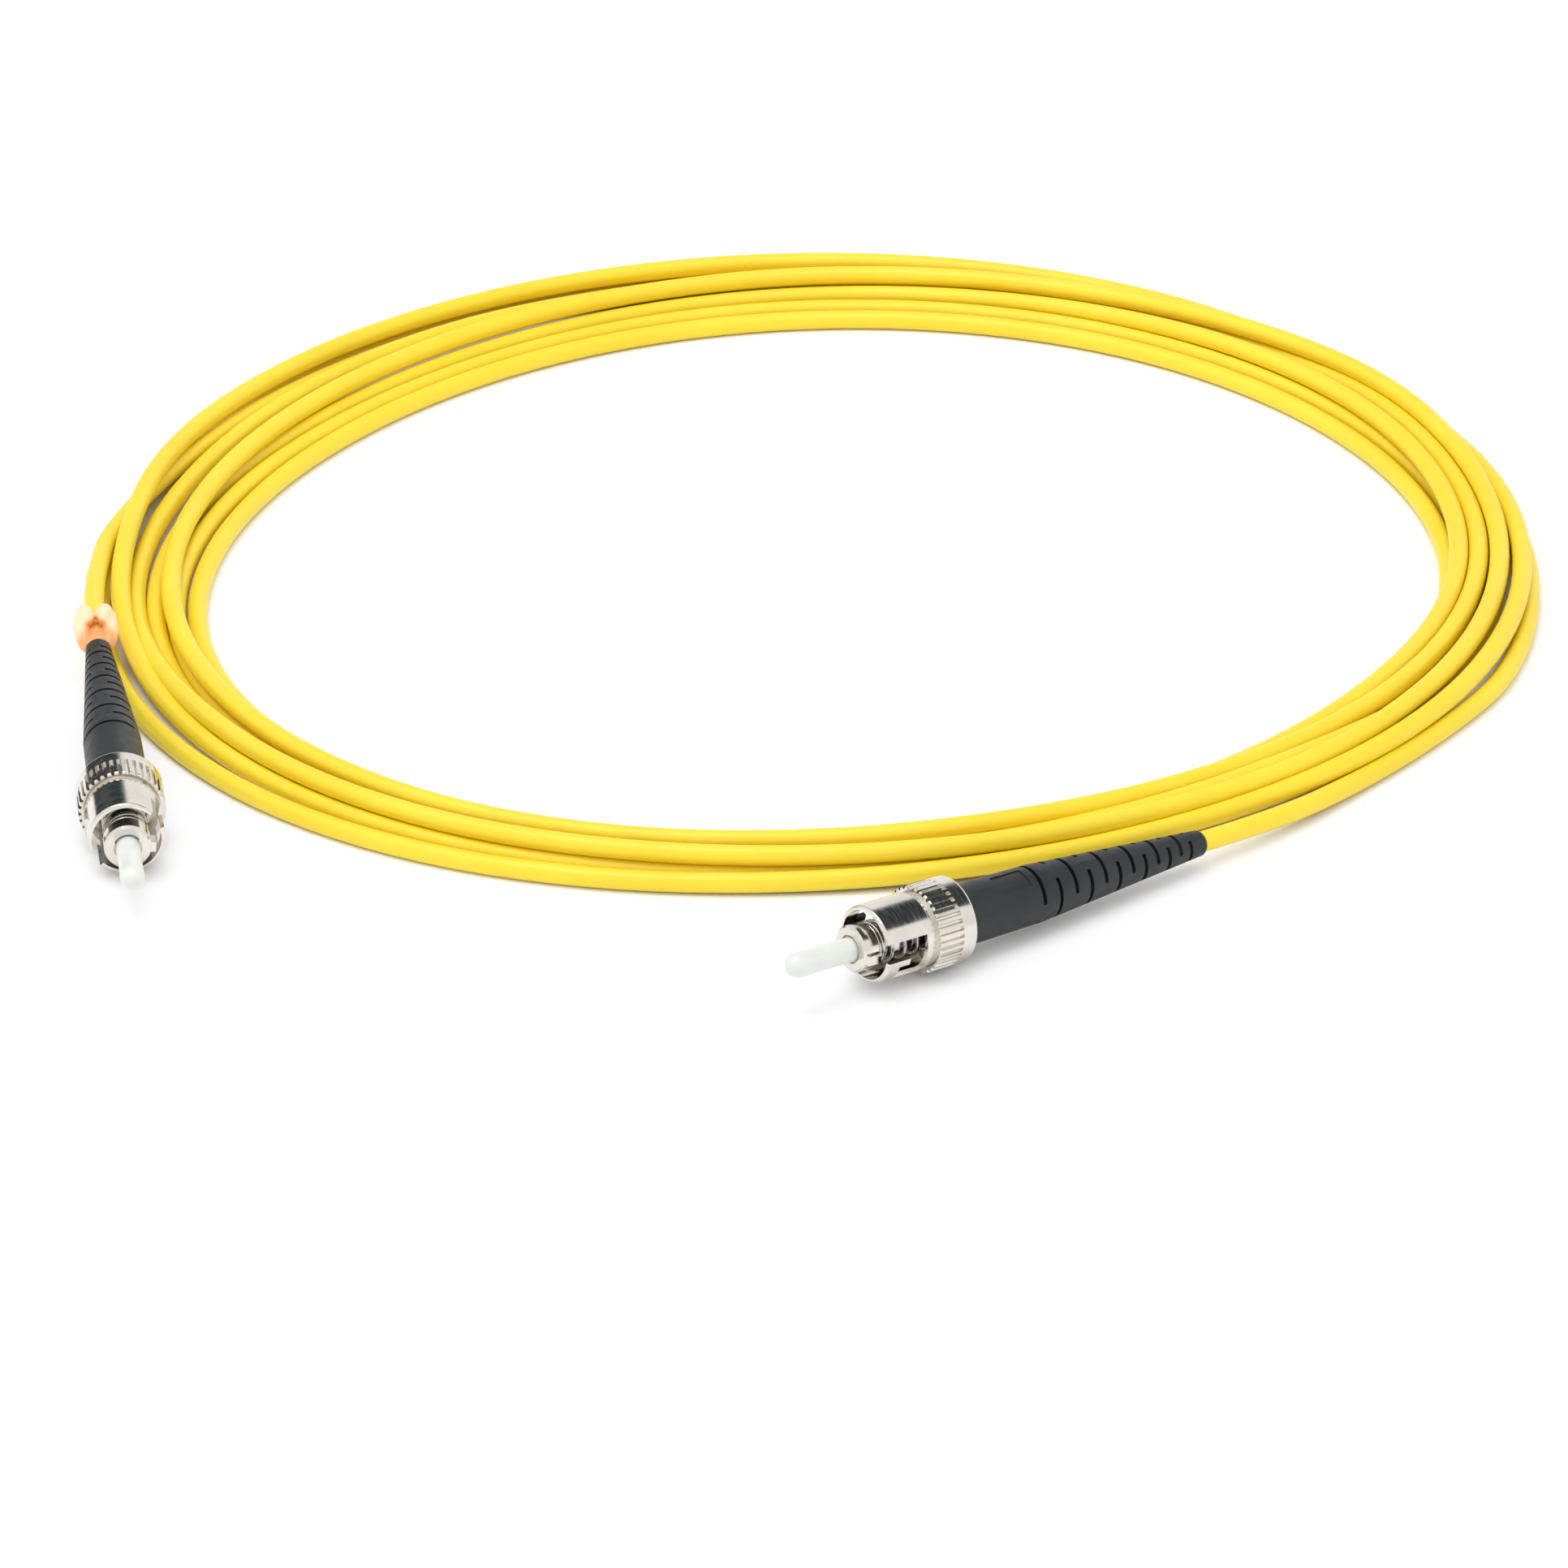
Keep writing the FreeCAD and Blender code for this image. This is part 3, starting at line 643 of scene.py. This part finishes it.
clip = clip_form("clip_form", "left")
clip.data.materials.append(clip_finish())
fused = clip.modifiers.new("fused", "REMESH")
fused.mode = "VOXEL"
fused.voxel_size = CLIP_GRAIN * MM
fused.use_smooth_shade = True
soft = clip.modifiers.new("soft", "SMOOTH")
soft.factor = 0.5
soft.iterations = CLIP_SMOOTHINGS
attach(clip, "root")
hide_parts("left_clip")


# The photographer's table and lights: a white sweep under broad soft light, with a strip of
# dark studio behind and above it, which the nickel mirrors.
FLOOR_WHITE = (0.93, 0.93, 0.94, 1)
FLOOR_HALF = 3
# The floor glows white to the camera, evenly in the open; the glow fades where the floor is hemmed
# in, which paints deeper shade into narrow gaps.
FLOOR_GLOW = 0.6
GLOW_REACH = 0.004
GLOW_OPEN = (0.25, 0.8)
STUDIO_LIGHT = 1.02
STUDIO_DARK = (0.030, 0.042, 0.048)
DARK_ACROSS = Vector((0.61, 0.50, -0.61)).normalized()
DARK_HALF = (0.10, 0.18)
DARK_TOWARDS = Vector((0.10, 0.75, 0.65)).normalized()
DARK_FROM = (0.38, 0.52)
SOFTBOX_PLACE = (-0.2, -0.15, 1.1)
SOFTBOX_SIZE = 0.7
SOFTBOX_POWER = 5


def sweep_finish():
    """White card that glows white to the camera, which pales its shadow; the glow fades in narrow
    gaps, painting deeper shade there.
    """
    finish, tree, shader = new_finish("floor")
    shader.inputs["Base Color"].default_value = FLOOR_WHITE
    shader.inputs["Roughness"].default_value = 0.9
    rays = tree.nodes.new("ShaderNodeLightPath")
    share = tree.nodes.new("ShaderNodeMath")
    share.operation = "MULTIPLY"
    # Painted shade: the camera's glow on the floor is dimmed where ambient occlusion finds it hemmed
    # in, darkening the gaps between strands.
    painted_gap_shade = tree.nodes.new("ShaderNodeAmbientOcclusion")
    painted_gap_shade.samples = 8
    painted_gap_shade.inputs["Distance"].default_value = GLOW_REACH
    glow_out_of_gaps = tree.nodes.new("ShaderNodeMapRange")
    glow_out_of_gaps.inputs["From Min"].default_value, glow_out_of_gaps.inputs["From Max"].default_value = GLOW_OPEN
    glow_out_of_gaps.inputs["To Max"].default_value = FLOOR_GLOW
    tree.links.new(painted_gap_shade.outputs["AO"], glow_out_of_gaps.inputs["Value"])
    tree.links.new(glow_out_of_gaps.outputs["Result"], share.inputs[1])
    white = tree.nodes.new("ShaderNodeEmission")
    blend = tree.nodes.new("ShaderNodeMixShader")
    tree.links.new(rays.outputs["Is Camera Ray"], share.inputs[0])
    tree.links.new(share.outputs[0], blend.inputs["Fac"])
    tree.links.new(shader.outputs["BSDF"], blend.inputs[1])
    tree.links.new(white.outputs["Emission"], blend.inputs[2])
    tree.links.new(blend.outputs["Shader"], tree.nodes["Material Output"].inputs["Surface"])
    return finish


floor_form = bmesh.new()
bmesh.ops.create_grid(floor_form, x_segments=1, y_segments=1, size=FLOOR_HALF)
floor_data = bpy.data.meshes.new("floor")
floor_form.to_mesh(floor_data)
floor_form.free()
floor_data.materials.append(sweep_finish())
floor = bpy.data.objects.new("floor", floor_data)
bpy.context.scene.collection.objects.link(floor)


def facing(tree, view, direction, low, high):
    """How far a direction of view turns towards another, from 0 at low to 1 at high."""
    towards = tree.nodes.new("ShaderNodeVectorMath")
    towards.operation = "DOT_PRODUCT"
    towards.inputs[1].default_value = direction
    size = tree.nodes.new("ShaderNodeMath")
    size.operation = "ABSOLUTE"
    level = tree.nodes.new("ShaderNodeMapRange")
    level.interpolation_type = "SMOOTHSTEP"
    level.inputs["From Min"].default_value = low
    level.inputs["From Max"].default_value = high
    tree.links.new(view, towards.inputs[0])
    tree.links.new(towards.outputs["Value"], size.inputs[0])
    tree.links.new(size.outputs[0], level.inputs["Value"])
    return level.outputs["Result"]


def studio_world():
    """Even light from all round, save for a dark strip behind and above, and white to the camera."""
    world = bpy.data.worlds.new("studio")
    world.use_nodes = True
    tree = world.node_tree
    light = tree.nodes["Background"]
    light.inputs["Strength"].default_value = STUDIO_LIGHT
    view = tree.nodes.new("ShaderNodeTexCoord").outputs["Generated"]
    beside = facing(tree, view, DARK_ACROSS, *DARK_HALF)
    behind = facing(tree, view, DARK_TOWARDS, *DARK_FROM)
    strip = tree.nodes.new("ShaderNodeMath")
    strip.operation = "SUBTRACT"
    strip.use_clamp = True
    dark = tree.nodes.new("ShaderNodeValToRGB")
    dark.color_ramp.elements[0].color = (1, 1, 1, 1)
    dark.color_ramp.elements[1].color = (*STUDIO_DARK, 1)
    tree.links.new(behind, strip.inputs[0])
    tree.links.new(beside, strip.inputs[1])
    tree.links.new(strip.outputs[0], dark.inputs["Fac"])
    tree.links.new(dark.outputs["Color"], light.inputs["Color"])
    seen = tree.nodes.new("ShaderNodeBackground")
    blend = tree.nodes.new("ShaderNodeMixShader")
    rays = tree.nodes.new("ShaderNodeLightPath")
    tree.links.new(rays.outputs["Is Camera Ray"], blend.inputs["Fac"])
    tree.links.new(light.outputs["Background"], blend.inputs[1])
    tree.links.new(seen.outputs["Background"], blend.inputs[2])
    tree.links.new(blend.outputs["Shader"], tree.nodes["World Output"].inputs["Surface"])
    bpy.context.scene.world = world


studio_world()


def softbox(name, place, size, power):
    """A square lamp that faces the coil."""
    lamp = bpy.data.lights.new(name, "AREA")
    lamp.size = size
    lamp.energy = power
    box = bpy.data.objects.new(name, lamp)
    box.location = place
    box.rotation_euler = (-Vector(place)).to_track_quat("-Z", "Y").to_euler()
    bpy.context.scene.collection.objects.link(box)


softbox("overhead_softbox", SOFTBOX_PLACE, SOFTBOX_SIZE, SOFTBOX_POWER)


# The camera: on a stand in front of the coil, 27 degrees above the table, with a long lens
# that flattens the ellipse of the turns. It shows colours as they are.
LENS = 204.97
SENSOR = 36
CAMERA_PLACE = (-0.00345, -0.96278, 0.468397)
CAMERA_TILT = 63
CAMERA_REACH = 20
camera_data = bpy.data.cameras.new("camera")
camera_data.lens = LENS
camera_data.sensor_width = SENSOR
camera_data.clip_end = CAMERA_REACH
camera = bpy.data.objects.new("camera", camera_data)
camera.location = CAMERA_PLACE
camera.rotation_euler = (math.radians(CAMERA_TILT), 0, 0)
bpy.context.scene.collection.objects.link(camera)
bpy.context.scene.camera = camera
bpy.context.scene.view_settings.view_transform = "Standard"
